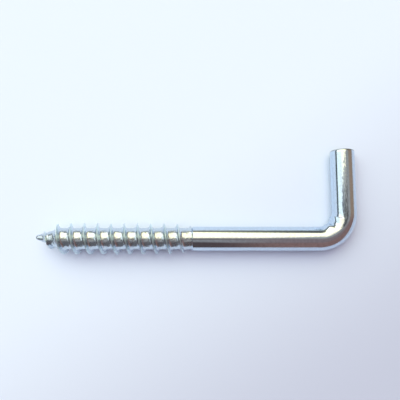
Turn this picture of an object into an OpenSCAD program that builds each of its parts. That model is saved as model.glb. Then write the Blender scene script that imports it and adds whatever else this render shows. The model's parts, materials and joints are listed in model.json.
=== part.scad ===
// Square-bend screw hook: one piece of round wire with a rolled wood thread, bent to a right angle.
// The axis of the screw lies along X, with the thread towards -X and the leg turned to +Y.
// The origin is on that axis, at the shoulder where the thread ends and the plain shank begins.

/* [Wire] */
// Diameter of the wire
wire_d = 6; // [4:0.1:8]
// Length from the screw point to the far side of the leg
overall_length = 80; // [70:1:120]
// Height from the near side of the shank to the end of the leg
leg_height = 25.3; // [16:0.1:40]
// Radius on the inside of the bend
bend_inside_r = 3.6; // [1.5:0.1:6]
// Chamfer round the cut end of the leg
leg_chamfer = 0.4; // [0.1:0.05:0.6]

/* [Thread] */
// Length from the screw point to the shoulder of the shank
thread_length = 38.8; // [25:0.2:46]
// Distance from one turn to the next
thread_pitch = 3.3; // [2.6:0.05:4.5]
// Height of the crests above the surface of the wire
crest_rise = 0.85; // [0.5:0.05:1.5]
// Depth of the root below the surface of the wire
root_depth = 0.35; // [0.2:0.05:0.7]
// Width of the flat on the crest
crest_land = 0.1; // [0.05:0.05:0.4]
// Angle between the two flanks of the ridge
flank_angle = 30; // [24:1:60]
// Width that each flank gains at its foot, where it runs out into the root
foot_width = 0.1; // [0.05:0.01:0.2]
// Length over which the ridge sinks into the shank
runout_length = 8; // [5:0.5:12]

/* [Screw point] */
// Length of the cone
point_length = 5.8; // [4:0.2:9]
// Diameter of the blunt tip
tip_d = 1.2; // [0.6:0.1:1.6]
// Hollowness of the cone, straight at 1 and slimmer towards the tip above that
point_hollow = 1.35; // [1:0.05:1.8]
// Distance from the tip to the start of the ridge
ridge_start = 1.3; // [0.6:0.05:1.8]

/* [Hidden] */
$fn = 96;

zinc_colour = [0.78, 0.80, 0.83];

wire_r = wire_d / 2;
bend_r = bend_inside_r + wire_r;
leg_x = overall_length - thread_length - wire_r;
leg_end_y = leg_height - wire_r;
shank_length = leg_x - bend_r;
leg_length = leg_end_y - bend_r;

root_r = wire_r - root_depth;
ridge_height = crest_rise + root_depth;
flank_slope = tan(flank_angle / 2);
// Share of the step from the root up to the shank that the chamfer of its edge takes
shoulder_chamfer_share = 0.85;
shoulder_chamfer = shoulder_chamfer_share * root_depth;
// Share of the ridge that is left at the shoulder, where it is level with the shank
runout_end_share = root_depth / ridge_height;
runout_reach_share = sqrt(1 - runout_end_share * runout_end_share);
// Length by which a cut runs past the face that it opens
overrun = 0.2;

// The screw is a skin of columns, one for each angle, that run from the tip to a cap inside the shank
columns = 36;
// Place of the point on the bare cone, as a share of the way from the tip to the first crest
cone_share = 0.45;
turns = ceil((thread_length - ridge_start) / thread_pitch);
rows_per_turn = 5;
last_row = rows_per_turn * turns + 1;
column_size = last_row + 2;
cap_z = ridge_start + thread_pitch * (turns + 1);

function limit(share) = min(1, max(0, share));

// Radius of the root at a distance from the tip
function root_at(z) = tip_d / 2 + (root_r - tip_d / 2) * pow(limit(z / point_length), point_hollow);

// Height of the ridge above the root: it grows along the point and sinks in a round sweep at the run-out
function ridge_at(z) =
    let (
        grown_share = limit((z - ridge_start) / (point_length - ridge_start)),
        sunk_share = limit(runout_reach_share * (z - thread_length + runout_length) / runout_length)
    )
    ridge_height * min(sqrt(grown_share), sqrt(1 - sunk_share * sunk_share));

// Place of a skin point, from its angle, its distance from the tip and its height above the root
function skin_point(angle, z, height) =
    let (r = root_at(z) + height)
    [r * cos(angle), r * sin(angle), z];

// One turn of one column: the foot, crest and foot of the ridge, then the middle of the root
function turn_points(angle, centre_z) =
    let (
        height = ridge_at(centre_z),
        half_crest = crest_land / 2,
        half_foot = half_crest + height * flank_slope + foot_width
    )
    [
        skin_point(angle, centre_z - half_foot, 0),
        skin_point(angle, centre_z - half_crest, height),
        skin_point(angle, centre_z + half_crest, height),
        skin_point(angle, centre_z + half_foot, 0),
        skin_point(angle, centre_z + thread_pitch / 2, 0)
    ];

function column_points(column) =
    let (
        column_share = column / columns,
        angle = 360 * column_share,
        first_z = ridge_start + thread_pitch * column_share
    )
    [
        skin_point(angle, 0, 0),
        skin_point(angle, cone_share * first_z, 0),
        for (turn = [0 : turns - 1])
            each turn_points(angle, first_z + thread_pitch * turn),
        skin_point(angle, cap_z, 0)
    ];

function at(column, row) = column * column_size + row;

// Skin between two neighbouring columns
function strip_faces(column) = [
    for (row = [0 : last_row])
        [at(column, row), at(column, row + 1), at(column + 1, row + 1), at(column + 1, row)]
];

// Skin between the last column and the first, where the rows step on by one turn
function seam_faces() =
    let (
        far = columns - 1,
        first_end = rows_per_turn + 1,
        last_start = last_row - rows_per_turn
    )
    [
        [at(far, 0), at(far, 1), at(0, 0)],
        for (row = [0 : first_end - 1])
            [at(far, 1), at(0, row + 1), at(0, row)],
        for (row = [1 : last_start - 1])
            [
                at(far, row),
                at(far, row + 1),
                at(0, row + 1 + rows_per_turn),
                at(0, row + rows_per_turn)
            ],
        for (row = [last_start : last_row])
            [at(far, row), at(far, row + 1), at(0, last_row)],
        [at(far, last_row + 1), at(0, last_row + 1), at(0, last_row)]
    ];

function cap_faces() = [
    [for (column = [0 : columns - 1]) at(column, 0)],
    [for (column = [columns - 1 : -1 : 0]) at(column, last_row + 1)]
];

// Threaded end with its gimlet point, from the tip at zero up along Z
module threaded_end() {
    polyhedron(
        points = [for (column = [0 : columns - 1]) each column_points(column)],
        faces = concat(
            [for (column = [0 : columns - 2]) each strip_faces(column)],
            seam_faces(),
            cap_faces()
        ),
        convexity = 2 * turns
    );
}

// Round section of the wire, at its distance from the centre of the bend
module wire_section() {
    translate([bend_r, 0])
        circle(r = wire_r);
}

// Ring that takes the edge off the top of a bar along Z
module edge_cut(chamfer) {
    rotate_extrude()
        polygon([
            [wire_r - chamfer - overrun, overrun],
            [wire_r + overrun, overrun],
            [wire_r + overrun, -chamfer - overrun]
        ]);
}

// Straight stretch of the wire, from the bend up along Z, with a chamfer at its far end
module straight_wire(length, chamfer) {
    difference() {
        linear_extrude(height = length)
            wire_section();
        translate([bend_r, 0, length])
            edge_cut(chamfer);
    }
}

// Shank, bend and leg: the section runs straight, turns about the centre of the bend and runs on
module bent_wire() {
    translate([leg_x - bend_r, bend_r, 0])
        rotate([0, 0, -90]) {
            rotate([90, 0, 0])
                straight_wire(shank_length, shoulder_chamfer);
            rotate_extrude(angle = 90)
                wire_section();
            rotate([0, 0, 90])
                rotate([-90, 0, 0])
                    straight_wire(leg_length, leg_chamfer);
        }
}

module screw_hook() {
    color(zinc_colour)
        union() {
            translate([-thread_length, 0, 0])
                rotate([0, 90, 0])
                    threaded_end();
            bent_wire();
        }
}

screw_hook();
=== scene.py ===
"""Screw hook of bright zinc-plated wire, lying on pale paper.

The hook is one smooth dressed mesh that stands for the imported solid.
"""

import json
import logging
import math
from collections.abc import Callable, Iterator
from contextlib import contextmanager
from dataclasses import dataclass
from enum import Enum

import bmesh
import bpy
import numpy as np
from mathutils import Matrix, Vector

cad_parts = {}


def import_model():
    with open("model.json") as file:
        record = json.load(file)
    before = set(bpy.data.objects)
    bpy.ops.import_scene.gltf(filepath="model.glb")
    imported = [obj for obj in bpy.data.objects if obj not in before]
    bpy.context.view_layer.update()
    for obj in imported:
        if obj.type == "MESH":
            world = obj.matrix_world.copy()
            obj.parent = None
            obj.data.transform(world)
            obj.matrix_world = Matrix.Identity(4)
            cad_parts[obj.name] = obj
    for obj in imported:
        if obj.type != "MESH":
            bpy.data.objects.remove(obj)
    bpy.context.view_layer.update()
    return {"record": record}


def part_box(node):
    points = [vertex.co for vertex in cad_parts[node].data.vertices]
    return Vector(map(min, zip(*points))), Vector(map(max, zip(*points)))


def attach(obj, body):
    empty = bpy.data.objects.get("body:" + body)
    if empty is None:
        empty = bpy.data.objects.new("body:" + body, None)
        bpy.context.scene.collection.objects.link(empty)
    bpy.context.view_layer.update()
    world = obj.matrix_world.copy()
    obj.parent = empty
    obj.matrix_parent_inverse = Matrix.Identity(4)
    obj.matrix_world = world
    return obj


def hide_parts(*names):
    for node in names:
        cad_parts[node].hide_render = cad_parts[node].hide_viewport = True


frame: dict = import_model()

log = logging.getLogger("screw_hook")

MM = 0.001
QUARTER_TURN = math.pi / 2
# Distances within which two places count as one, and vertices are merged
WELD = 1e-7
MERGE = 10 * WELD
HOOK_NODE = "screw_hook"
HOOK_BODY = "root"

Point = tuple[float, float, float]
Span = tuple[float, float]
Tint = tuple[float, float, float]
Colour = tuple[float, float, float, float]
NodeValue = bpy.types.NodeSocket | Colour | float


class SurfaceMark(Enum):
    """Attributes that the mesh carries for its finish to read."""

    WIRE_PLACE = "wire_place"
    RIDGE_SHARE = "ridge_share"


class Tone(Enum):
    """Colours of the studio round the hook, in linear light."""

    NORTH_WINDOW = (2.2, 1.95, 1.2, 1.0)
    WEST_WINDOW = (2.3, 2.2, 2.0, 1.0)
    WEST_CURTAIN = (1.24, 1.33, 1.27, 1.0)
    WINDOW_EDGE = (1.4, 1.18, 0.9, 1.0)
    WEST_SKYLINE = (0.08, 0.09, 0.095, 1.0)
    NORTH_SKYLINE = (0.36, 0.33, 0.24, 1.0)
    EAST_SKYLINE = (0.14, 0.14, 0.13, 1.0)
    SILL = (0.75, 0.81, 0.88, 1.0)
    FRAME = (0.23, 0.19, 0.175, 1.0)
    WEST_CEILING = (0.6, 0.58, 0.56, 1.0)
    WEST_ROOM = (0.16, 0.155, 0.165, 1.0)
    SOUTH_CEILING = (0.325, 0.3, 0.295, 1.0)
    SOUTH_ROOM = (0.1, 0.07, 0.07, 1.0)
    SOUTH_EAST_CEILING = (0.275, 0.2, 0.195, 1.0)
    SOUTH_EAST_ROOM = (0.295, 0.17, 0.15, 1.0)
    EAST_CEILING = (0.41, 0.39, 0.36, 1.0)
    EAST_ROOM = (0.4, 0.27, 0.19, 1.0)
    BACKDROP = (0.72, 0.8, 0.88, 1.0)


def deselect_all() -> None:
    """Leave object mode with nothing selected, so that no operator reaches another object."""
    if bpy.context.object is not None and bpy.context.object.mode != "OBJECT":
        bpy.ops.object.mode_set(mode="OBJECT")
    bpy.ops.object.select_all(action="DESELECT")


def make_active(piece: bpy.types.Object) -> None:
    """Select one object alone and make it the active one.

    Args:
        piece: the object.
    """
    deselect_all()
    piece.select_set(True)
    bpy.context.view_layer.objects.active = piece


@contextmanager
def editing(piece: bpy.types.Object) -> Iterator[None]:
    """Hold one object in edit mode for the length of a with block.

    Args:
        piece: the mesh object to edit.

    Yields:
        Nothing.
    """
    make_active(piece)
    bpy.ops.object.mode_set(mode="EDIT")
    yield
    bpy.ops.object.mode_set(mode="OBJECT")


def select_edges(piece: bpy.types.Object, test: Callable[[bmesh.types.BMEdge], bool]) -> int:
    """Select the edges of the object in edit mode that pass a test, and nothing else.

    Args:
        piece: the mesh object, in edit mode.
        test: says whether an edge belongs to the selection.

    Returns:
        How many edges were selected.
    """
    bpy.ops.mesh.select_mode(type="EDGE")
    bpy.ops.mesh.select_all(action="DESELECT")
    mesh = bmesh.from_edit_mesh(piece.data)
    chosen = [edge for edge in mesh.edges if test(edge)]
    for edge in chosen:
        edge.select_set(True)
    bmesh.update_edit_mesh(piece.data)
    return len(chosen)


def vertex_places(mesh: bpy.types.Mesh) -> np.ndarray:
    """Read a mesh's vertices.

    Args:
        mesh: the mesh to read.

    Returns:
        An array of one row of x, y and z for each vertex.
    """
    places = np.empty(len(mesh.vertices) * 3, dtype=np.float64)
    mesh.vertices.foreach_get("co", places)
    return places.reshape(-1, 3)


def move_vertices(mesh: bpy.types.Mesh, places: np.ndarray) -> None:
    """Write new places to a mesh's vertices, one row for each."""
    mesh.vertices.foreach_set("co", places.astype(np.float32).ravel())
    mesh.update()


def smoothstep(low: float, high: float, value: np.ndarray) -> np.ndarray:
    """Ease a value from 0 at low to 1 at high.

    Args:
        low: where the step starts.
        high: where it ends.
        value: the values to ease.

    Returns:
        The eased shares, between 0 and 1.
    """
    share = np.clip((value - low) / (high - low), 0.0, 1.0)
    return share * share * (3.0 - 2.0 * share)


def around(middle: float, reach: float) -> Span:
    """Span about a middle, which runs backwards where the reach is below zero."""
    return middle - reach, middle + reach


@dataclass(frozen=True)
class HookSizes:
    """Sizes of the whole hook, in metres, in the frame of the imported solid."""

    wire_r: float
    crest_r: float
    thread_length: float
    leg_x: float
    leg_start_y: float
    leg_end_y: float
    root_depth: float = 0.35 * MM

    @classmethod
    def from_frame(cls, record: dict) -> "HookSizes":
        """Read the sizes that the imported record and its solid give.

        Args:
            record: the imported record, with its mounts.

        Returns:
            The sizes of the hook.
        """
        mounts = {mount["name"]: mount for mount in record["mounts"]}
        thread, leg = mounts["screw_thread"], mounts["leg"]
        _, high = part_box(HOOK_NODE)
        return cls(
            wire_r=leg["dims"]["r_mm"] * MM - WELD,
            crest_r=thread["dims"]["r_mm"] * MM,
            thread_length=thread["dims"]["length_mm"] * MM,
            leg_x=leg["pos_m"][0],
            leg_start_y=leg["pos_m"][1] - leg["dims"]["length_mm"] * MM / 2,
            leg_end_y=high[1] - WELD,
        )

    @property
    def root_r(self) -> float:
        """Radius of the thread's root."""
        return self.wire_r - self.root_depth

    @property
    def ridge_height(self) -> float:
        """Height of the thread's ridge above its root."""
        return self.crest_r - self.root_r


@dataclass
class ThreadedEnd:
    """Rolled wood thread with a gimlet point, wound from one turn of its profile."""

    sizes: HookSizes
    pitch: float = 3.3 * MM
    crest_land: float = 0.1 * MM
    flank_angle: float = math.radians(30)
    foot_width: float = 0.1 * MM
    runout_length: float = 8.0 * MM
    point_length: float = 5.8 * MM
    point_hollow: float = 1.35
    tip_r: float = 0.6 * MM
    tip_round: float = 0.45 * MM
    cap_reach: float = 0.5 * MM
    tip_shift: float = 0.35 * MM
    shifted_length: float = 9.0 * MM
    ridge_start: float = 1.3 * MM
    crest_bevel: float = 0.03 * MM
    west_foot_bevel: float = 0.7 * MM
    east_foot_bevel: float = 0.35 * MM
    bevel_segments: int = 3
    straight_cosine: float = -0.99
    root_point_share: float = 0.75
    steps_per_turn: int = 72
    spare_turns: int = 2

    @property
    def half_crest(self) -> float:
        """Half the width of the flat on the crest."""
        return self.crest_land / 2

    @property
    def half_foot(self) -> float:
        """Half the width of the full ridge at its foot."""
        return self.half_foot_at(self.sizes.ridge_height)

    @property
    def first_turn_x(self) -> float:
        """Place of the ridge's first crest on the underside."""
        return self.ridge_start - self.sizes.thread_length

    @property
    def outline_x(self) -> float:
        """Place of the middle of the drawn outline, one turn before the first crest."""
        return self.first_turn_x - self.pitch

    @property
    def rest_slope(self) -> float:
        """Slope of the floor that touches the underside of the leg and of one crest of the thread.

        Returns:
            The floor's rise for each metre towards the leg.
        """
        crest_x = np.arange(self.first_turn_x, 0.0, self.pitch)
        from_tip = crest_x + self.sizes.thread_length
        drop = self.root_at(from_tip) + self.ridge_at(from_tip) - self.sizes.wire_r
        return float(np.max(drop / (self.sizes.leg_x - crest_x)))

    def half_foot_at(self, height: np.ndarray | float) -> np.ndarray | float:
        """Half the width of the ridge at its foot, where it has a given height."""
        return self.half_crest + height * math.tan(self.flank_angle / 2) + self.foot_width

    def root_at(self, z: np.ndarray) -> np.ndarray:
        """Radius of the root at distances from the tip."""
        share = np.clip(z / self.point_length, 0.0, 1.0)
        return self.tip_r + (self.sizes.root_r - self.tip_r) * share**self.point_hollow

    def ridge_at(self, z: np.ndarray) -> np.ndarray:
        """Height of the ridge at distances from the tip.

        Args:
            z: distances from the tip along the axis.

        Returns:
            The heights above the root: growing along the point, sinking along the run-out.
        """
        full = self.sizes.ridge_height
        reach = math.sqrt(1.0 - (self.sizes.root_depth / full) ** 2)
        grown = np.clip((z - self.ridge_start) / (self.point_length - self.ridge_start), 0.0, 1.0)
        past_start = z - self.sizes.thread_length + self.runout_length
        sunk = np.clip(reach * past_start / self.runout_length, 0.0, 1.0)
        return full * np.minimum(np.sqrt(grown), np.sqrt(1.0 - sunk**2))

    def draw_profile(self) -> bpy.types.Object:
        """Draw one pitch of the thread's outline under the axis, by extruding a point along it.

        Returns:
            The object that holds the outline.
        """
        root, crest = self.sizes.root_r, self.sizes.crest_r
        half_pitch = self.pitch / 2
        root_point = self.half_foot + self.root_point_share * (half_pitch - self.half_foot)
        outline = [
            (-half_pitch, root),
            (-root_point, root),
            (-self.half_foot, root),
            (-self.half_crest, crest),
            (self.half_crest, crest),
            (self.half_foot, root),
            (root_point, root),
            (half_pitch, root),
        ]
        deselect_all()
        bpy.ops.mesh.primitive_plane_add(size=self.crest_land, location=(0, 0, 0))
        profile = bpy.context.object
        profile.name = profile.data.name = "thread_outline"
        with editing(profile):
            bpy.ops.mesh.select_mode(type="VERT")
            bpy.ops.mesh.select_all(action="SELECT")
            bpy.ops.mesh.merge(type="CENTER")
            x, r = outline[0]
            bpy.ops.transform.translate(value=(self.outline_x + x, 0, -r))
            for (x0, r0), (x1, r1) in zip(outline, outline[1:]):
                step = (x1 - x0, 0, r0 - r1)
                bpy.ops.mesh.extrude_vertices_move(TRANSFORM_OT_translate={"value": step})
            for side, foot_bevel in ((-1, self.west_foot_bevel), (1, self.east_foot_bevel)):
                self.round_corner(profile, side, crest, self.crest_bevel)
                self.round_corner(profile, side, root, foot_bevel)
        return profile

    def round_corner(self, profile: bpy.types.Object, side: int, radius: float, width: float) -> None:
        """Bevel the corner of the outline that lies at one radius on one side of the ridge.

        Args:
            profile: the outline, in edit mode.
            side: -1 on the side of the point, 1 on the side of the shank.
            radius: the distance of the corner from the axis.
            width: the width of the bevel.
        """
        bpy.ops.mesh.select_all(action="DESELECT")
        mesh = bmesh.from_edit_mesh(profile.data)
        for vertex in mesh.verts:
            others = [edge.other_vert(vertex) for edge in vertex.link_edges]
            ways = [(other.co - vertex.co).normalized() for other in others]
            turns = len(ways) == 2 and ways[0].dot(ways[1]) > self.straight_cosine
            on_side = (vertex.co.x - self.outline_x) * side > 0
            vertex.select_set(turns and on_side and abs(-vertex.co.z - radius) < WELD)
        bmesh.update_edit_mesh(profile.data)
        bpy.ops.mesh.bevel(offset=width, segments=self.bevel_segments, affect="VERTICES")

    def wind(self, profile: bpy.types.Object) -> None:
        """Wind the outline along the axis with a Screw modifier, one pitch a turn.

        Args:
            profile: the outline, which becomes the wound surface.
        """
        turns = math.ceil(self.sizes.thread_length / self.pitch) + self.spare_turns
        make_active(profile)
        screw = profile.modifiers.new("wind", "SCREW")
        screw.axis = "X"
        screw.angle = math.tau
        screw.screw_offset = self.pitch
        screw.iterations = turns
        screw.steps = screw.render_steps = self.steps_per_turn
        screw.use_merge_vertices = True
        screw.merge_threshold = MERGE
        bpy.ops.object.modifier_apply(modifier=screw.name)

    def taper(self, thread: bpy.types.Object) -> None:
        """Draw the wound surface in to its point, sink its ridge at the run-out and round its tip.

        Args:
            thread: the wound surface.
        """
        places = vertex_places(thread.data)
        x, y, z = places.T
        radius = np.hypot(y, z)
        angle = np.arctan2(y, -z)
        turn_share = angle / math.tau
        turn = np.round((x - self.first_turn_x) / self.pitch - turn_share)
        centre = self.first_turn_x + self.pitch * (turn + turn_share)
        offset = x - centre
        height = self.ridge_at(centre + self.sizes.thread_length)
        lift_share = np.clip((radius - self.sizes.root_r) / self.sizes.ridge_height, 0.0, 1.0)
        offset = self.narrowed(offset, height)
        along = centre + offset + self.sizes.thread_length
        new_radius = self.root_at(along) + lift_share * height
        along, new_radius = self.rounded_tip(along, new_radius)
        scale = new_radius / radius
        shift = self.tip_shift * np.clip(1.0 - along / self.shifted_length, 0.0, 1.0) ** 2
        places = np.stack([along - self.sizes.thread_length, y * scale + shift, z * scale], axis=1)
        move_vertices(thread.data, places)

    def narrowed(self, offset: np.ndarray, height: np.ndarray) -> np.ndarray:
        """Narrow the ridge where it is low, and widen the root beside it.

        Args:
            offset: distances along the axis from the middle of the ridge.
            height: the ridge's height there.

        Returns:
            The distances after narrowing.
        """
        size, sign = np.abs(offset), np.sign(offset)
        crest, half_pitch = self.half_crest, self.pitch / 2
        foot, full_foot = self.half_foot_at(height), self.half_foot
        flank = crest + (size - crest) * (foot - crest) / (full_foot - crest)
        root = foot + (size - full_foot) * (half_pitch - foot) / (half_pitch - full_foot)
        return sign * np.where(size <= crest, size, np.where(size <= full_foot, flank, root))

    def rounded_tip(self, along: np.ndarray, radius: np.ndarray) -> tuple[np.ndarray, np.ndarray]:
        """Close the surface over the tip in a round cap.

        Args:
            along: distances from the tip along the axis.
            radius: distances from the axis.

        Returns:
            Both, with all that lies before the tip drawn in to the axis.
        """
        cap_share = np.clip((self.tip_round - along) / (self.tip_round + self.cap_reach), 0.0, 1.0)
        swing = cap_share * QUARTER_TURN
        in_cap = along < self.tip_round
        capped_along = self.tip_round * (1.0 - np.sin(swing))
        rim = float(self.root_at(np.array(self.tip_round)))
        capped_radius = rim * np.cos(swing)
        return np.where(in_cap, capped_along, along), np.where(in_cap, capped_radius, radius)

    def trim(self, thread: bpy.types.Object) -> None:
        """Weld the tip and cut the surface off at the shoulder.

        Args:
            thread: the tapered surface.
        """
        with editing(thread):
            bpy.ops.mesh.select_all(action="SELECT")
            bpy.ops.mesh.remove_doubles(threshold=MERGE)
            bpy.ops.mesh.dissolve_degenerate(threshold=MERGE)
            bpy.ops.mesh.select_all(action="SELECT")
            bpy.ops.mesh.bisect(
                plane_co=(0, 0, 0), plane_no=(1, 0, 0), use_fill=False, clear_outer=True, threshold=WELD
            )

    def build(self) -> bpy.types.Object:
        """Model the threaded end.

        Returns:
            An open surface from the tip to the shoulder.
        """
        thread = self.draw_profile()
        self.wind(thread)
        self.taper(thread)
        self.trim(thread)
        return thread


@dataclass
class BentWire:
    """Plain shank, bend and leg, drawn out of one ring."""

    sizes: HookSizes
    block_level: float = 3.54 * MM
    block_upright: float = 3.83 * MM
    mark_line: float = 4.7 * MM
    corner_share: float = 0.35
    level_limit: float = math.radians(80)
    upright_limit: float = math.radians(10)
    ramp_start: float = math.radians(11)
    ramp_end: float = math.radians(46)
    step_start: float = math.radians(71)
    step_end: float = math.radians(74)
    shoulder_chamfer: float = 0.3 * MM
    leg_edge: float = 0.4 * MM
    leg_edge_segments: int = 4
    ring_sides: int = 96
    shank_rings: int = 32
    bend_steps: int = 72
    leg_rings: int = 18

    @property
    def bend_r(self) -> float:
        """Radius of the bend, at the middle of the wire."""
        return self.sizes.leg_start_y

    @property
    def shank_length(self) -> float:
        """Length of the straight shank, from the shoulder to the bend."""
        return self.sizes.leg_x - self.bend_r

    @property
    def length(self) -> float:
        """Length along the middle of the wire, from the shoulder to the end of the leg."""
        return self.shank_length + self.bend_r * QUARTER_TURN + self.sizes.leg_end_y - self.bend_r

    def extrude_ring(self, length: float, direction: Point, rings: int) -> None:
        """Draw the selected ring out in equal steps.

        Args:
            length: the whole length to draw.
            direction: the direction, of length 1.
            rings: the number of steps.
        """
        step = tuple(length / rings * part for part in direction)
        for _ in range(rings):
            bpy.ops.mesh.extrude_edges_move(TRANSFORM_OT_translate={"value": step})

    def build(self) -> bpy.types.Object:
        """Model the bent wire, open at the shoulder and closed at the leg's end.

        Returns:
            The object that holds it.
        """
        sizes = self.sizes
        start_r = sizes.wire_r - self.shoulder_chamfer
        grow = sizes.wire_r / start_r
        deselect_all()
        bpy.ops.mesh.primitive_circle_add(
            vertices=self.ring_sides, radius=start_r, location=(0, 0, 0), rotation=(0, QUARTER_TURN, 0)
        )
        wire = bpy.context.object
        wire.name = wire.data.name = "bent_wire"
        make_active(wire)
        bpy.ops.object.transform_apply(location=True, rotation=True, scale=True)
        with editing(wire):
            bpy.ops.mesh.select_mode(type="EDGE")
            bpy.ops.mesh.select_all(action="SELECT")
            self.extrude_ring(self.shoulder_chamfer, (1, 0, 0), 1)
            ring_centre = (self.shoulder_chamfer, 0, 0)
            bpy.ops.transform.resize(value=(1, grow, grow), center_override=ring_centre)
            self.extrude_ring(self.shank_length - self.shoulder_chamfer, (1, 0, 0), self.shank_rings)
            bpy.ops.mesh.spin(
                steps=self.bend_steps,
                angle=QUARTER_TURN,
                center=(self.shank_length, self.bend_r, 0),
                axis=(0, 0, -1),
            )
            self.extrude_ring(sizes.leg_end_y - self.bend_r, (0, 1, 0), self.leg_rings)
            bpy.ops.mesh.edge_face_add()
            bpy.ops.mesh.bevel(offset=self.leg_edge, segments=self.leg_edge_segments, affect="EDGES")
        self.square_inside(wire)
        return wire

    def straightened(self, places: np.ndarray) -> tuple[np.ndarray, np.ndarray, np.ndarray]:
        """Find where points of the hook lie on its wire.

        Args:
            places: one row of x, y and z for each point.

        Returns:
            Distances along the wire from the shoulder, distances from its middle towards the inside of
            the bend, and swings about the bend, which are 0 on the shank and a quarter turn on the leg.
        """
        x, y, _ = places.T
        beyond_x, short_y = x - self.shank_length, self.bend_r - y
        swing = np.clip(np.arctan2(np.maximum(beyond_x, 0.0), short_y), 0.0, QUARTER_TURN)
        on_leg = (beyond_x > 0) & (short_y <= 0)
        in_bend = (beyond_x > 0) & ~on_leg
        bend_along = self.shank_length + self.bend_r * swing
        leg_along = self.shank_length + self.bend_r * QUARTER_TURN - short_y
        along = np.where(on_leg, leg_along, np.where(in_bend, bend_along, x))
        bend_inward = self.bend_r - np.hypot(beyond_x, short_y)
        inward = np.where(on_leg, self.bend_r - beyond_x, np.where(in_bend, bend_inward, y))
        return along, inward, swing

    def mark_depth(self, swing: np.ndarray) -> np.ndarray:
        """Find how deep the marks are that the bending block left on the inside of the bend.

        Args:
            swing: swings about the bend.

        Returns:
            The depths midway between the inside of the bend and its top or bottom, below zero where the
            metal bulges in. They make a ramp from the shank, a level stretch to a corner, and an upright
            stretch to a step at the start of the leg.
        """
        level = self.block_level / np.cos(np.minimum(swing, self.level_limit))
        upright = self.block_upright / np.sin(np.maximum(swing, self.upright_limit))
        depth = np.minimum(level, upright) - self.mark_line
        ramped = smoothstep(self.ramp_start, self.ramp_end, swing)
        stepped = smoothstep(self.step_start, self.step_end, swing)
        return (ramped - stepped) * np.where(depth > 0, self.corner_share * depth, depth)

    def square_inside(self, wire: bpy.types.Object) -> None:
        """Press into the inside of the bend the marks of the block that it was bent over.

        Args:
            wire: the wire with an evenly round bend.
        """
        places = vertex_places(wire.data)
        _, inward, swing = self.straightened(places)
        # The marks are deepest midway between the inside of the bend and its top or bottom
        slanting = 2 * np.maximum(inward, 0.0) * np.abs(places[:, 2]) / self.sizes.wire_r**2
        push = slanting * self.mark_depth(swing)
        places[:, 0] += push * np.sin(swing)
        places[:, 1] -= push * np.cos(swing)
        move_vertices(wire.data, places)


@dataclass(frozen=True)
class Spots:
    """Spots of a noise: their size along x, y and z, their finer layers and how high they stand."""

    size: Point
    detail: float
    height: float = 0.0


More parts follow.
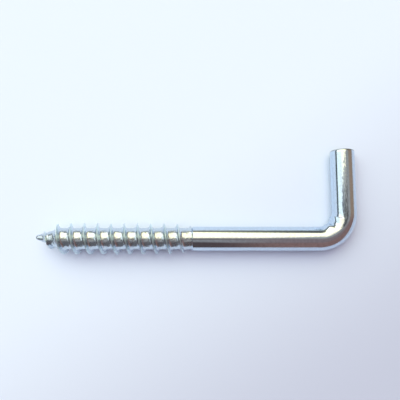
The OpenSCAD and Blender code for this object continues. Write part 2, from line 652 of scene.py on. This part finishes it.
@dataclass(frozen=True)
class NodeBench:
    """Adds nodes to one node tree and links them up."""

    tree: bpy.types.NodeTree

    def add(self, kind: str, **choices: str) -> bpy.types.Node:
        """Add a node.

        Args:
            kind: the name of the node's type, without its common start.
            choices: settings of the node.

        Returns:
            The node.
        """
        node = self.tree.nodes.new("ShaderNode" + kind)
        for name, choice in choices.items():
            setattr(node, name, choice)
        return node

    def feed(self, socket: bpy.types.NodeSocket, given: NodeValue) -> None:
        """Link a value into a socket, or set it there where it is a constant.

        Args:
            socket: the input to feed.
            given: another node's output, or a constant.
        """
        if isinstance(given, bpy.types.NodeSocket):
            self.tree.links.new(given, socket)
        else:
            socket.default_value = given

    def parts(self, vector: bpy.types.NodeSocket) -> tuple[bpy.types.NodeSocket, ...]:
        """Take a vector apart.

        Args:
            vector: the vector.

        Returns:
            Its x, y and z.
        """
        node = self.add("SeparateXYZ")
        self.feed(node.inputs["Vector"], vector)
        return tuple(node.outputs)

    def combine(self, operation: str, first: NodeValue, second: NodeValue) -> bpy.types.NodeSocket:
        """Work one value out of two.

        Args:
            operation: the name of the sum.
            first: a value.
            second: another.

        Returns:
            The result.
        """
        node = self.add("Math", operation=operation)
        self.feed(node.inputs[0], first)
        self.feed(node.inputs[1], second)
        return node.outputs["Value"]

    def reach(self, vector: bpy.types.NodeSocket, way: Point) -> bpy.types.NodeSocket:
        """Measure how far a vector reaches along a direction.

        Args:
            vector: a vector.
            way: the direction.

        Returns:
            The distance.
        """
        node = self.add("VectorMath", operation="DOT_PRODUCT")
        self.feed(node.inputs[0], vector)
        self.feed(node.inputs[1], way)
        return node.outputs["Value"]

    def ease(
        self, value: bpy.types.NodeSocket, span: Span, ends: Span = (0.0, 1.0)
    ) -> bpy.types.NodeSocket:
        """Ease a value from one end of a span to the other.

        Args:
            value: the value.
            span: where the step starts, and where it ends on either side of the start.
            ends: the results at the start and at the end.

        Returns:
            The eased value.
        """
        if span[0] > span[1]:
            span, ends = span[::-1], ends[::-1]
        node = self.add("MapRange", interpolation_type="SMOOTHSTEP")
        for name, given in zip(("From Min", "From Max", "To Min", "To Max"), (*span, *ends)):
            self.feed(node.inputs[name], given)
        self.feed(node.inputs["Value"], value)
        return node.outputs["Result"]

    def mix(self, share: NodeValue, first: NodeValue, second: NodeValue) -> bpy.types.NodeSocket:
        """Mix two colours, or two values.

        Args:
            share: the share of the second.
            first: a colour or a value.
            second: another of the same kind.

        Returns:
            The mix.
        """
        is_colour = isinstance(first, tuple) or getattr(first, "type", "") == "RGBA"
        node = self.add("Mix", data_type="RGBA" if is_colour else "FLOAT")
        sockets = [socket for socket in node.inputs if socket.enabled]
        for socket, given in zip(sockets, (share, first, second)):
            self.feed(socket, given)
        return next(socket for socket in node.outputs if socket.enabled)

    def noise(self, place: bpy.types.NodeSocket, spots: Spots) -> bpy.types.NodeSocket:
        """Add a noise.

        Args:
            place: where to read it.
            spots: the size and the layers of its spots.

        Returns:
            The noise's value.
        """
        mapping = self.add("Mapping")
        self.feed(mapping.inputs["Scale"], tuple(1 / part for part in spots.size))
        self.feed(mapping.inputs["Vector"], place)
        noise = self.add("TexNoise")
        self.feed(noise.inputs["Scale"], 1.0)
        self.feed(noise.inputs["Detail"], spots.detail)
        self.feed(noise.inputs["Vector"], mapping.outputs["Vector"])
        return noise.outputs["Fac"]

    def bump(
        self,
        height: bpy.types.NodeSocket,
        distance: float,
        under: bpy.types.NodeSocket | None = None,
        strength: NodeValue = 1.0,
    ) -> bpy.types.NodeSocket:
        """Add relief from a pattern.

        Args:
            height: the pattern.
            distance: how high the pattern's full range stands.
            under: a normal that already holds other relief, or None.
            strength: the share of the relief that shows.

        Returns:
            The new normal.
        """
        node = self.add("Bump")
        self.feed(node.inputs["Strength"], strength)
        self.feed(node.inputs["Distance"], distance)
        self.feed(node.inputs["Height"], height)
        if under is not None:
            self.feed(node.inputs["Normal"], under)
        return node.outputs["Normal"]


@dataclass(frozen=True)
class ZincPlate:
    """Bright zinc plate on drawn wire.

    It has streaks along the wire, a duller thread, a dark cut end with painted shade on its east side
    and a scuffed patch on the leg.
    Places are on the straightened wire: along it, towards the inside of the bend and up.
    """

    wire_length: float
    name: str = "bright_zinc_plate"

    bright: Colour = (0.655, 0.775, 0.89, 1.0)
    dull: Colour = (0.555, 0.645, 0.75, 1.0)
    ridge_colour: Colour = (0.68, 0.81, 0.86, 1.0)
    thread_colour: Colour = (0.62, 0.7, 0.76, 1.0)
    cut_colour: Colour = (0.38, 0.42, 0.43, 1.0)
    # Painted shade: the colour the east side of the cut end is darkened to
    cut_end_painted_shade: Colour = (0.15, 0.15, 0.14, 1.0)
    scuff_dark: Colour = (0.1, 0.125, 0.17, 1.0)
    scuff_light: Colour = (0.345, 0.425, 0.58, 1.0)

    smooth_roughness: float = 0.06
    dull_roughness: float = 0.15
    smooth_thread_roughness: float = 0.2
    dull_thread_roughness: float = 0.3
    ridge_roughness: float = 0.38
    scuff_roughness: float = 0.4

    streaks: Spots = Spots((9 * MM, 0.22 * MM, 0.22 * MM), 3.0, 0.004 * MM)
    mottle: Spots = Spots((0.7 * MM, 0.7 * MM, 0.7 * MM), 4.0, 0.01 * MM)
    dents: Spots = Spots((1.1 * MM, 1.0 * MM, 1.0 * MM), 1.0, 0.12 * MM)
    grain: Spots = Spots((1.1 * MM, 0.25 * MM, 0.25 * MM), 5.0)
    mottle_share: float = 0.5

    # Limits between which one finish turns into the next
    clean_span: Span = (0.32, 0.62)
    ridge_span: Span = (0.35, 0.75)
    thread_span: Span = (0.2 * MM, -0.2 * MM)
    cut_span: Span = (0.5 * MM, 0.15 * MM)
    cut_end_painted_shade_span: Span = (0.5 * MM, 0.0)

    # The scuffed patch, measured from the end of the leg and from the middle of the wire
    scuff_start: float = -6.5 * MM
    scuff_fade: float = 19.0 * MM
    scuff_end: float = 21.0 * MM
    scuff_inside: float = 1.48 * MM
    scuff_outside: float = -0.1 * MM
    scuff_edge: float = 0.25 * MM
    scuff_narrow: float = 0.68 * MM
    scuff_bend_span: Span = (14.5 * MM, 20.0 * MM)
    scuff_bend_narrow: float = 1.1 * MM
    scuff_bend_shade: float = 0.3
    scuff_light_span: Span = (0.1, 0.55)
    scuff_grain_span: Span = (0.3, 0.7)
    scuff_grain_share: float = 0.8
    scuff_limit_span: Span = (0.85, 1.05)

    def material(self) -> bpy.types.Material:
        """Make the finish.

        Returns:
            The material, which reads the hook's surface marks.
        """
        material = bpy.data.materials.new(self.name)
        material.use_nodes = True
        metal = material.node_tree.nodes["Principled BSDF"].inputs
        bench = NodeBench(material.node_tree)
        bench.feed(metal["Metallic"], 1.0)
        place = bench.add("Attribute", attribute_name=SurfaceMark.WIRE_PLACE.value).outputs["Vector"]
        ridge = bench.add("Attribute", attribute_name=SurfaceMark.RIDGE_SHARE.value).outputs["Fac"]

        streaks = bench.noise(place, self.streaks)
        mottle = bench.noise(place, self.mottle)
        grain = bench.noise(place, self.grain)
        clean = bench.ease(bench.mix(self.mottle_share, streaks, mottle), self.clean_span)
        on_ridge = bench.ease(ridge, self.ridge_span)
        scuffed = self.scuff(bench, place, grain)

        along, inward, _ = bench.parts(place)
        on_thread = bench.ease(along, self.thread_span)
        colour = bench.mix(clean, self.dull, bench.mix(on_thread, self.bright, self.thread_colour))
        colour = bench.mix(on_ridge, colour, self.ridge_colour)
        from_end = bench.combine("SUBTRACT", self.wire_length, along)
        # Painted shade: the cut end darkens towards its east side, away from the window
        cut_colour = bench.mix(bench.ease(inward, self.cut_end_painted_shade_span), self.cut_colour, self.cut_end_painted_shade)
        colour = bench.mix(bench.ease(from_end, self.cut_span), colour, cut_colour)
        to_bend = bench.ease(from_end, (0.0, self.scuff_end))
        bend_shade = bench.combine("MULTIPLY", to_bend, self.scuff_bend_shade)
        lightness = bench.combine("SUBTRACT", grain, bend_shade)
        scuff_share = bench.ease(lightness, self.scuff_light_span)
        scuff_colour = bench.mix(scuff_share, self.scuff_dark, self.scuff_light)
        bench.feed(metal["Base Color"], bench.mix(scuffed, colour, scuff_colour))

        wire_rough = bench.mix(clean, self.dull_roughness, self.smooth_roughness)
        thread_rough = bench.mix(clean, self.dull_thread_roughness, self.smooth_thread_roughness)
        rough = bench.mix(on_thread, wire_rough, thread_rough)
        rough = bench.mix(on_ridge, rough, self.ridge_roughness)
        bench.feed(metal["Roughness"], bench.mix(scuffed, rough, self.scuff_roughness))

        dents = bench.noise(place, self.dents)
        relief = bench.bump(streaks, self.streaks.height)
        relief = bench.bump(mottle, self.mottle.height, relief)
        bench.feed(metal["Normal"], bench.bump(dents, self.dents.height, relief, on_thread))
        return material

    def scuff(
        self, bench: NodeBench, place: bpy.types.NodeSocket, grain: bpy.types.NodeSocket
    ) -> bpy.types.NodeSocket:
        """Mark off the scuffed patch on the upper side of the leg.

        Args:
            bench: the material's nodes.
            place: the place on the straightened wire.
            grain: the pattern that breaks up the patch's edge.

        Returns:
            The share of the surface that is scuffed.
        """
        along, inward, height = bench.parts(place)
        from_end = bench.combine("SUBTRACT", self.wire_length, along)
        by_end = bench.ease(from_end, (0.0, self.scuff_fade), (self.scuff_narrow, 0.0))
        by_bend = bench.ease(from_end, self.scuff_bend_span, (0.0, self.scuff_bend_narrow))
        narrowed = bench.combine("ADD", inward, bench.combine("ADD", by_end, by_bend))
        share = bench.ease(from_end, (self.scuff_start, self.scuff_start + self.scuff_fade))
        for value, span in (
            (from_end, (self.scuff_end, self.scuff_end - self.scuff_inside)),
            (narrowed, around(self.scuff_inside, -self.scuff_edge)),
            (inward, around(self.scuff_outside, self.scuff_edge)),
            (height, (0.0, self.scuff_inside)),
        ):
            share = bench.combine("MULTIPLY", share, bench.ease(value, span))
        spread = bench.ease(grain, self.scuff_grain_span, (0.0, self.scuff_grain_share))
        return bench.ease(bench.combine("ADD", share, spread), self.scuff_limit_span)


@dataclass
class ScrewHook:
    """The whole hook: its threaded end and its bent wire as one closed skin."""

    sizes: HookSizes
    thread: ThreadedEnd
    wire: BentWire
    finish: ZincPlate
    sharp_angle: float = math.radians(38)

    def build(self) -> bpy.types.Object:
        """Model the hook, mark its surface, dress it and tie it to the frame.

        Returns:
            The finished piece.
        """
        thread = self.thread.build()
        hook = self.wire.build()
        make_active(hook)
        thread.select_set(True)
        bpy.ops.object.join()
        hook.name = hook.data.name = "zinc_screw_hook"
        self.close_shoulder(hook)
        self.mark_surface(hook.data)
        make_active(hook)
        bpy.ops.object.shade_smooth_by_angle(angle=self.sharp_angle)
        hook.data.materials.clear()
        hook.data.materials.append(self.finish.material())
        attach(hook, HOOK_BODY)
        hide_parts(HOOK_NODE)
        return hook

    @staticmethod
    def is_shoulder_rim(edge: bmesh.types.BMEdge) -> bool:
        """Say whether an edge lies on an open rim at the shoulder."""
        return edge.is_boundary and all(abs(vertex.co.x) < MERGE for vertex in edge.verts)

    def close_shoulder(self, hook: bpy.types.Object) -> None:
        """Bridge the thread's cut edge to the first ring of the wire, and turn the skin outwards.

        Args:
            hook: the joined object.
        """
        with editing(hook):
            select_edges(hook, self.is_shoulder_rim)
            bpy.ops.mesh.bridge_edge_loops()
            bpy.ops.mesh.select_all(action="SELECT")
            bpy.ops.mesh.normals_make_consistent(inside=False)
            loose = select_edges(hook, lambda edge: not edge.is_manifold)
        log.info("%s: %d open edges, %d faces", hook.name, loose, len(hook.data.polygons))

    def mark_surface(self, mesh: bpy.types.Mesh) -> None:
        """Store on each vertex its place on the straightened wire and its share of the ridge.

        Args:
            mesh: the hook's mesh.
        """
        sizes = self.sizes
        places = vertex_places(mesh)
        x, y, z = places.T
        along, inward, _ = self.wire.straightened(places)
        place = np.stack([along, inward, z], axis=1)
        marks = mesh.attributes.new(SurfaceMark.WIRE_PLACE.value, "FLOAT_VECTOR", "POINT")
        marks.data.foreach_set("vector", place.astype(np.float32).ravel())

        root = self.thread.root_at(x + sizes.thread_length)
        lifted = np.clip((np.hypot(y, z) - root) / sizes.ridge_height, 0.0, 1.0)
        share = np.where(x < 0, lifted, 0.0)
        ridge = mesh.attributes.new(SurfaceMark.RIDGE_SHARE.value, "FLOAT", "POINT")
        ridge.data.foreach_set("value", share.astype(np.float32))


@dataclass
class PaperFloor:
    """Sheet of pale paper under the hook, at the slope at which the hook comes to rest on it, with
    painted shade that darkens it towards the south-east.
    """

    sizes: HookSizes
    slope: float
    width: float = 4.0
    south_edge: float = -122 * MM
    colour: Colour = (0.675, 0.78, 0.885, 1.0)
    # Painted shade: the colour the paper darkens to towards the south-east, standing in for the light
    # falling off
    painted_shade_colour: Colour = (0.465, 0.515, 0.625, 1.0)
    painted_shade_way: Point = (0.55, -0.83, 0)
    painted_shade_start: float = -20 * MM
    painted_shade_end: float = 60 * MM
    roughness: float = 0.9
    gloss: float = 0.2
    fibres: Spots = Spots((0.5 * MM, 0.5 * MM, 0.5 * MM), 2.0, 0.01 * MM)

    def build(self) -> bpy.types.Object:
        """Lay the paper.

        Returns:
            The floor, which isn't part of the hook.
        """
        deselect_all()
        bpy.ops.mesh.primitive_plane_add(size=self.width, location=(0, 0, 0))
        floor = bpy.context.object
        with editing(floor):
            bpy.ops.mesh.select_all(action="SELECT")
            bpy.ops.transform.translate(value=(0, self.south_edge + self.width / 2, 0))
        floor.name = floor.data.name = "paper_floor"
        floor.rotation_euler = (0, -math.atan(self.slope), 0)
        floor.location = (self.sizes.leg_x, 0, -self.sizes.wire_r)
        floor.data.materials.append(self.material())
        return floor

    def material(self) -> bpy.types.Material:
        """Make the paper's material, with painted shade that darkens it towards the south-east.

        Returns:
            The material.
        """
        material = bpy.data.materials.new("pale_paper")
        material.use_nodes = True
        paper = material.node_tree.nodes["Principled BSDF"].inputs
        bench = NodeBench(material.node_tree)
        bench.feed(paper["Roughness"], self.roughness)
        bench.feed(paper["Specular IOR Level"], self.gloss)
        place = bench.add("TexCoord").outputs["Object"]
        reach = bench.reach(place, self.painted_shade_way)
        leg_reach = self.sizes.leg_x * self.painted_shade_way[0]
        # Painted shade: the paper turns darker towards the south-east, where the light falls off
        in_painted_shade = bench.ease(reach, (self.painted_shade_start - leg_reach, self.painted_shade_end - leg_reach))
        bench.feed(paper["Base Color"], bench.mix(in_painted_shade, self.colour, self.painted_shade_colour))
        fibres = bench.noise(place, self.fibres)
        bench.feed(paper["Normal"], bench.bump(fibres, self.fibres.height))
        return material


@dataclass(frozen=True)
class SoftFill:
    """Wide soft light that lifts the shadows and doesn't show in the metal."""

    name: str
    place: Point
    watts: float
    colour: Tint
    width: float = 1.1

    def hang(self) -> None:
        """Hang the light in its place, turned to the hook."""
        fill = bpy.data.lights.new(self.name, "AREA")
        fill.size = self.width
        fill.energy = self.watts
        fill.color = self.colour
        holder = bpy.data.objects.new(self.name, fill)
        holder.location = self.place
        holder.rotation_euler = Vector(self.place).to_track_quat("Z", "Y").to_euler()
        holder.visible_glossy = False
        bpy.context.scene.collection.objects.link(holder)


@dataclass(frozen=True)
class Directions:
    """Directions of a world, and how far they reach to the east, to the north and up."""

    way: bpy.types.NodeSocket
    east: bpy.types.NodeSocket
    north: bpy.types.NodeSocket
    up: bpy.types.NodeSocket


@dataclass
class Studio:
    """Soft light round the hook.

    A bright window lies to the north and west, and a dim warm room to the south and east. Places are
    shares of a unit step to the east, to the north or up, and a span is where one tone turns into the
    next.
    """

    soft_edge: float = 0.05

    window_south: float = 0.06
    window_west_reach: float = 0.5
    window_west_span: Span = (-0.9, -0.4)
    window_slant_south: float = -0.075
    window_corner: Point = (-0.894, 0.447, 0)
    window_corner_reach: float = -0.12
    window_rim_span: Span = (0.3, 0.05)
    window_rim_east_span: Span = (-0.15, 0.0)
    curtain_span: Span = (0.18, 0.45)
    window_tone_span: Span = (-0.6, 0.1)

    west_skyline_height: float = 0.36
    east_skyline_height: float = 0.59
    skyline_span: Span = (-0.35, 0.35)
    west_skyline_span: Span = (-0.3, 0.0)
    east_skyline_span: Span = (0.0, 0.3)

    sill_height: float = 0.12
    sill_edge: float = 0.025
    sill_span: Span = (-0.7, -0.3)

    frame_south: float = -0.19
    west_ceiling_height: float = 0.86
    east_ceiling_height: float = 0.74
    ceiling_span: Span = (-0.05, 0.15)
    ceiling_edge: float = 0.1
    west_room_span: Span = (-0.15, 0.0)
    east_room_span: Span = (0.02, 0.22)
    north_room_span: Span = (-0.15, 0.1)

    north_fill: SoftFill = SoftFill("north_fill", (-0.25, 0.35, 1.0), 7.0, (0.88, 1.0, 1.07))
    top_fill: SoftFill = SoftFill("top_fill", (0.0, 0.0, 1.2), 2.5, (0.85, 0.55, 1.2))

    def build(self) -> None:
        """Make the world that lights the scene and shows in the metal, and hang the fill lights."""
        world = bpy.data.worlds.new("soft_studio")
        bpy.context.scene.world = world
        world.use_nodes = True
        bench = NodeBench(world.node_tree)
        way = bench.add("TexCoord").outputs["Generated"]
        to = Directions(way, *bench.parts(way))

        past_rim = self.past_rim(bench, to)
        corner = bench.reach(to.way, self.window_corner)
        in_window = bench.combine(
            "MULTIPLY",
            bench.ease(past_rim, around(0.0, self.soft_edge)),
            bench.ease(corner, around(self.window_corner_reach, self.soft_edge)),
        )
        whole = bench.mix(in_window, self.room(bench, to), self.window(bench, to, past_rim))
        by_sill = bench.combine(
            "MULTIPLY",
            bench.ease(to.up, around(self.sill_height, -self.sill_edge)),
            bench.ease(to.north, self.sill_span),
        )
        whole = bench.mix(by_sill, whole, Tone.SILL.value)
        seen = bench.add("LightPath").outputs["Is Camera Ray"]
        light = world.node_tree.nodes["Background"].inputs
        bench.feed(light["Color"], bench.mix(seen, whole, Tone.BACKDROP.value))
        self.north_fill.hang()
        self.top_fill.hang()

    def past_rim(self, bench: NodeBench, to: Directions) -> bpy.types.NodeSocket:
        """Measure how far directions lie inside the window's southern rim.

        Args:
            bench: the world's nodes.
            to: the directions.

        Returns:
            The distances, below zero outside the window.
        """
        north_of_east = bench.combine("SUBTRACT", to.north, to.east)
        past_slant = bench.combine("SUBTRACT", north_of_east, self.window_slant_south)
        rims = (self.window_west_reach - self.window_south, -self.window_south)
        past_south = bench.combine("ADD", to.north, bench.ease(to.east, self.window_west_span, rims))
        return bench.combine("MINIMUM", past_slant, past_south)

    def window(
        self, bench: NodeBench, to: Directions, past_rim: bpy.types.NodeSocket
    ) -> bpy.types.NodeSocket:
        """Colour the window, with a warmer rim and a skyline below it.

        Args:
            bench: the world's nodes.
            to: the directions.
            past_rim: how far they lie inside the window's southern rim.

        Returns:
            The window's colour.
        """
        by_curtain = bench.ease(to.north, self.curtain_span)
        pane = bench.mix(by_curtain, Tone.WEST_CURTAIN.value, Tone.WEST_WINDOW.value)
        pane = bench.mix(bench.ease(to.east, self.window_tone_span), pane, Tone.NORTH_WINDOW.value)
        by_rim = bench.combine(
            "MULTIPLY",
            bench.ease(past_rim, self.window_rim_span),
            bench.ease(to.east, self.window_rim_east_span),
        )
        pane = bench.mix(by_rim, pane, Tone.WINDOW_EDGE.value)

        from_west = bench.ease(to.east, self.west_skyline_span)
        skyline = bench.mix(from_west, Tone.WEST_SKYLINE.value, Tone.NORTH_SKYLINE.value)
        to_east = bench.ease(to.east, self.east_skyline_span)
        skyline = bench.mix(to_east, skyline, Tone.EAST_SKYLINE.value)
        heights = (self.west_skyline_height, self.east_skyline_height)
        above = bench.combine("SUBTRACT", to.up, bench.ease(to.east, self.skyline_span, heights))
        return bench.mix(bench.ease(above, around(0.0, self.soft_edge)), skyline, pane)

    def room(self, bench: NodeBench, to: Directions) -> bpy.types.NodeSocket:
        """Colour the room on the sides away from the window.

        Args:
            bench: the world's nodes.
            to: the directions.

        Returns:
            The room's colour.
        """
        from_west = bench.ease(to.east, self.west_room_span)
        by_frame = bench.ease(to.north, around(self.frame_south, self.soft_edge))
        south_ceiling = bench.mix(from_west, Tone.WEST_CEILING.value, Tone.SOUTH_CEILING.value)
        south_ceiling = bench.mix(by_frame, south_ceiling, Tone.FRAME.value)
        south_walls = bench.mix(from_west, Tone.WEST_ROOM.value, Tone.SOUTH_ROOM.value)
        to_north = bench.ease(to.north, self.north_room_span)
        east_ceiling = bench.mix(to_north, Tone.SOUTH_EAST_CEILING.value, Tone.EAST_CEILING.value)
        east_walls = bench.mix(to_north, Tone.SOUTH_EAST_ROOM.value, Tone.EAST_ROOM.value)
        to_east = bench.ease(to.east, self.east_room_span)
        ceiling = bench.mix(to_east, south_ceiling, east_ceiling)
        walls = bench.mix(to_east, south_walls, east_walls)
        heights = (self.west_ceiling_height, self.east_ceiling_height)
        above = bench.combine("SUBTRACT", to.up, bench.ease(to.east, self.ceiling_span, heights))
        return bench.mix(bench.ease(above, around(0.0, self.ceiling_edge)), walls, ceiling)


@dataclass
class PhotoCamera:
    """Camera above the hook, where the photograph was taken from."""

    place: Point = (2.04 * MM, -2.546 * MM, 107.483 * MM)
    tilt: float = math.radians(6.5)
    focal_px: float = 430.0
    picture_px: float = 400.0
    sensor_mm: float = 36.0
    clip_start: float = 5 * MM

    def build(self) -> None:
        """Set up the camera and the plain colour rendering."""
        camera = bpy.data.cameras.new("photo_camera")
        camera.sensor_width = self.sensor_mm
        camera.lens = self.focal_px / self.picture_px * self.sensor_mm
        camera.clip_start = self.clip_start
        holder = bpy.data.objects.new("photo_camera", camera)
        holder.location = self.place
        holder.rotation_euler = (self.tilt, 0, 0)
        scene = bpy.context.scene
        scene.collection.objects.link(holder)
        scene.camera = holder
        scene.view_settings.view_transform = "Standard"
        scene.view_settings.look = "None"


def main() -> None:
    """Build the hook and its studio, and log what was built."""
    logging.basicConfig(level=logging.INFO, format="%(name)s: %(message)s")
    sizes = HookSizes.from_frame(frame["record"])
    thread = ThreadedEnd(sizes)
    wire = BentWire(sizes)
    hook = ScrewHook(sizes, thread, wire, ZincPlate(wire.length)).build()
    log.info("%s: dressed in %s", hook.name, hook.data.materials[0].name)
    floor = PaperFloor(sizes, thread.rest_slope).build()
    log.info("%s: laid", floor.name)
    Studio().build()
    PhotoCamera().build()


if __name__ == "__main__":
    main()
